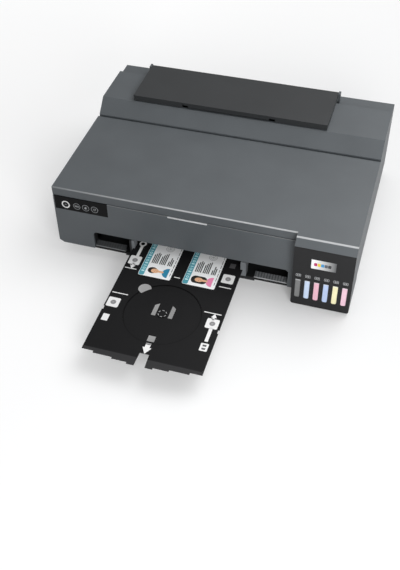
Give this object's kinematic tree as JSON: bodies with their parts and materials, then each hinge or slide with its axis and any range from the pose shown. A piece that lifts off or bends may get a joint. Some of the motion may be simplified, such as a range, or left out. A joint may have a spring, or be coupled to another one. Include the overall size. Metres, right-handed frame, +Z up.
{
  "type": "disc label printer",
  "caption": "Desktop inkjet printer with a rear paper feeder, an ink bay at one side and a flat carrier tray in its front slot for printing on a disc or plastic cards.",
  "frame": {"origin": "middle of the whole outline, tray included, on the table", "axes": "+X to the right seen from the front, +Y to the back, +Z up"},
  "size_m": [0.499, 0.587, 0.169],
  "materials": {
    "shell": "fine matte grain",
    "dark_shell": "matte",
    "gloss_black": "polished",
    "keys": "satin",
    "tray_black": "fine matte grain",
    "card": "satin",
    "guide_grey": "satin",
    "ink_1": "clear, tinted by the ink",
    "ink_2": "clear, tinted by the ink",
    "ink_3": "clear, tinted by the ink",
    "ink_4": "clear, tinted by the ink",
    "ink_5": "clear, tinted by the ink",
    "ink_6": "clear, tinted by the ink",
    "cap_plastic": "satin",
    "steel": "satin",
    "roller_rubber": "matte",
    "gear_white": "satin",
    "mechanism_black": "satin",
    "film": "clear",
    "board_green": "satin"
  },
  "bodies": {
    "printer": {"front_panel": "shell", "main_housing": "shell", "base_case": "dark_shell", "rubber_feet": "roller_rubber", "rear_cover": "shell", "control_panel": "gloss_black", "tank_housing": "shell", "tank_front_panel": "gloss_black", "ink_tank_1": "ink_1", "ink_tank_2": "ink_2", "ink_tank_3": "ink_3", "ink_tank_4": "ink_4", "ink_tank_5": "ink_5", "ink_tank_6": "ink_6", "main_frame": "steel", "platen": "mechanism_black", "pinch_rollers": "mechanism_black", "star_wheels": "mechanism_black", "encoder_strip": "film", "timing_belt": "roller_rubber", "carriage_motor": "steel", "feed_motor": "steel", "cap_station": "mechanism_black", "feeder_frame": "mechanism_black", "power_supply": "mechanism_black", "main_board": "board_green", "maintenance_box": "mechanism_black", "rear_sockets": "mechanism_black", "case_screws": "steel"},
    "cover": {"printer_cover": "shell"},
    "power_key": {"power_button": "keys"},
    "key_1": {"panel_button_1": "keys"},
    "key_2": {"panel_button_2": "keys"},
    "key_3": {"panel_button_3": "keys"},
    "carrier": {"disc_tray": "tray_black", "id_cards": "card"},
    "carrier_guide": {"tray_guide": "guide_grey"},
    "output": {"output_tray": "dark_shell"},
    "output_end": {"output_tray_extension": "dark_shell"},
    "feed": {"feed_roller": "steel", "feed_gear": "gear_white"},
    "eject": {"eject_roller": "roller_rubber", "eject_gear": "gear_white"},
    "idler": {"idler_gear": "gear_white"},
    "pinion": {"motor_pinion": "gear_white"},
    "head_carriage": {"carriage": "mechanism_black", "print_head": "mechanism_black"},
    "drive_wheel": {"drive_pulley": "gear_white"},
    "return_wheel": {"idler_pulley": "gear_white"},
    "support": {"paper_support": "dark_shell"},
    "support_end": {"paper_support_leaf": "dark_shell"},
    "stack_hopper": {"hopper": "mechanism_black"},
    "stack_guide": {"edge_guide": "mechanism_black"},
    "pick_up": {"pick_up_roller": "roller_rubber"},
    "cap_1": {"ink_cap_1": "cap_plastic"},
    "cap_2": {"ink_cap_2": "cap_plastic"},
    "cap_3": {"ink_cap_3": "cap_plastic"},
    "cap_4": {"ink_cap_4": "cap_plastic"},
    "cap_5": {"ink_cap_5": "cap_plastic"},
    "cap_6": {"ink_cap_6": "cap_plastic"}
  },
  "joints": [
    {"name": "cover_hinge", "type": "hinge", "parent": "printer", "child": "cover", "pos_m": [0, 0.1415, 0.128], "axis": [-1, 0, 0], "range_deg": [0, 60]},
    {"name": "ink_cap_1_hinge", "type": "hinge", "parent": "printer", "child": "cap_1", "pos_m": [0.16555, -0.0465, 0.0992], "axis": [-1, 0, 0], "range_deg": [0, 110]},
    {"name": "ink_cap_2_hinge", "type": "hinge", "parent": "printer", "child": "cap_2", "pos_m": [0.18027, -0.0465, 0.0992], "axis": [-1, 0, 0], "range_deg": [0, 110]},
    {"name": "ink_cap_3_hinge", "type": "hinge", "parent": "printer", "child": "cap_3", "pos_m": [0.19499, -0.0465, 0.0992], "axis": [-1, 0, 0], "range_deg": [0, 110]},
    {"name": "ink_cap_4_hinge", "type": "hinge", "parent": "printer", "child": "cap_4", "pos_m": [0.20971, -0.0465, 0.0992], "axis": [-1, 0, 0], "range_deg": [0, 110]},
    {"name": "ink_cap_5_hinge", "type": "hinge", "parent": "printer", "child": "cap_5", "pos_m": [0.22443, -0.0465, 0.0992], "axis": [-1, 0, 0], "range_deg": [0, 110]},
    {"name": "ink_cap_6_hinge", "type": "hinge", "parent": "printer", "child": "cap_6", "pos_m": [0.23915, -0.0465, 0.0992], "axis": [-1, 0, 0], "range_deg": [0, 110]},
    {"name": "power_button_press", "type": "slide", "parent": "printer", "child": "power_key", "axis": [0, 1, 0], "range_m": [0, 0.0008], "stiffness_N_per_m": 300},
    {"name": "panel_button_1_press", "type": "slide", "parent": "printer", "child": "key_1", "axis": [0, 1, 0], "range_m": [0, 0.0008], "stiffness_N_per_m": 300},
    {"name": "panel_button_2_press", "type": "slide", "parent": "printer", "child": "key_2", "axis": [0, 1, 0], "range_m": [0, 0.0008], "stiffness_N_per_m": 300},
    {"name": "panel_button_3_press", "type": "slide", "parent": "printer", "child": "key_3", "axis": [0, 1, 0], "range_m": [0, 0.0008], "stiffness_N_per_m": 300},
    {"name": "disc_tray_slide", "type": "slide", "parent": "printer", "child": "carrier", "axis": [0, 1, 0], "range_m": [-0.04, 0.28]},
    {"name": "tray_guide_slide", "type": "slide", "parent": "printer", "child": "carrier_guide", "axis": [0, 1, 0], "range_m": [0, 0.03]},
    {"name": "output_tray_slide", "type": "slide", "parent": "printer", "child": "output", "axis": [0, -1, 0], "range_m": [0, 0.185]},
    {"name": "output_tray_extension_slide", "type": "slide", "parent": "output", "child": "output_end", "axis": [0, -1, 0], "range_m": [0, 0.15]},
    {"name": "feed_roller_turn", "type": "hinge", "parent": "printer", "child": "feed", "pos_m": [0, 0.0635, 0.031], "axis": [1, 0, 0], "continuous": true},
    {"name": "eject_roller_turn", "type": "hinge", "parent": "printer", "child": "eject", "pos_m": [-0.0495, -0.0125, 0.031], "axis": [1, 0, 0], "continuous": true},
    {"name": "idler_gear_turn", "type": "hinge", "parent": "printer", "child": "idler", "pos_m": [-0.233, 0.0255, 0.03653], "axis": [1, 0, 0], "continuous": true},
    {"name": "motor_pinion_turn", "type": "hinge", "parent": "printer", "child": "pinion", "pos_m": [-0.233, 0.0833, 0.0508], "axis": [1, 0, 0], "continuous": true},
    {"name": "carriage_slide", "type": "slide", "parent": "printer", "child": "head_carriage", "axis": [1, 0, 0], "range_m": [-0.35, 0]},
    {"name": "drive_pulley_turn", "type": "hinge", "parent": "printer", "child": "drive_wheel", "pos_m": [-0.2095, 0.0805, 0.08365], "axis": [0, 1, 0], "continuous": true},
    {"name": "idler_pulley_turn", "type": "hinge", "parent": "printer", "child": "return_wheel", "pos_m": [0.2185, 0.0775, 0.08365], "axis": [0, 1, 0], "continuous": true},
    {"name": "paper_support_hinge", "type": "hinge", "parent": "printer", "child": "support", "pos_m": [-0.0195, 0.2755, 0.1635], "axis": [-1, 0, 0], "range_deg": [0, 112]},
    {"name": "paper_support_leaf_slide", "type": "slide", "parent": "support", "child": "support_end", "axis": [0, -1, 0], "range_m": [0, 0.07]},
    {"name": "hopper_swing", "type": "hinge", "parent": "printer", "child": "stack_hopper", "pos_m": [-0.0195, 0.23847, 0.1403], "axis": [-1, 0, 0], "range_deg": [0, 3.4]},
    {"name": "edge_guide_slide", "type": "slide", "parent": "stack_hopper", "child": "stack_guide", "axis": [1, 0, 0], "range_m": [0, 0.22]},
    {"name": "pick_up_roller_turn", "type": "hinge", "parent": "printer", "child": "pick_up", "pos_m": [0.0905, 0.1685, 0.082], "axis": [1, 0, 0], "continuous": true}
  ],
  "couplings": [
    {"joint": "eject_roller_turn", "follows": "feed_roller_turn", "ratio": 1},
    {"joint": "idler_gear_turn", "follows": "feed_roller_turn", "ratio": -1.1818},
    {"joint": "motor_pinion_turn", "follows": "feed_roller_turn", "ratio": -2.8889},
    {"joint": "drive_pulley_turn", "follows": "carriage_slide", "rad_per_m": 142.86},
    {"joint": "idler_pulley_turn", "follows": "carriage_slide", "rad_per_m": 142.86}
  ]
}
